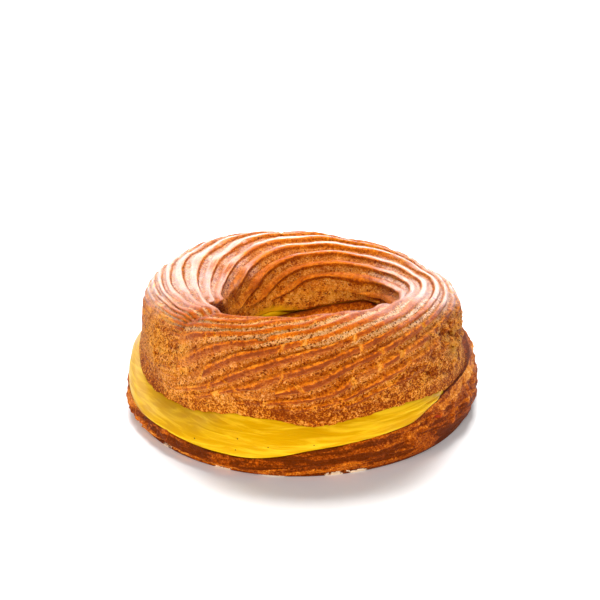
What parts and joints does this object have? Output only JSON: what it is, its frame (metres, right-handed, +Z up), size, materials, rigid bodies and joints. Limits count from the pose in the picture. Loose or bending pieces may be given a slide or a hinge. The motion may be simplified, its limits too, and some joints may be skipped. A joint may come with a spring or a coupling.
{
  "type": "paris brest pastry",
  "caption": "Ring of baked choux with a ridged, twisted crown over a thick band of yellow custard cream and a plain baked base.",
  "frame": {"origin": "middle of the ring's footprint, on the surface that it rests on", "axes": "+Z up; +Y towards the back, where the crown is lowest; +X to the right, where base and crown meet"},
  "size_m": [0.0924, 0.0892, 0.0386],
  "materials": {
    "base_crust": "baked choux, dull and craggy",
    "custard": "smooth wet custard cream",
    "crown_crust": "baked choux, glazed on its ridges"
  },
  "bodies": {
    "root": {"base": "base_crust", "cream": "custard", "crown": "crown_crust"}
  },
  "joints": []
}
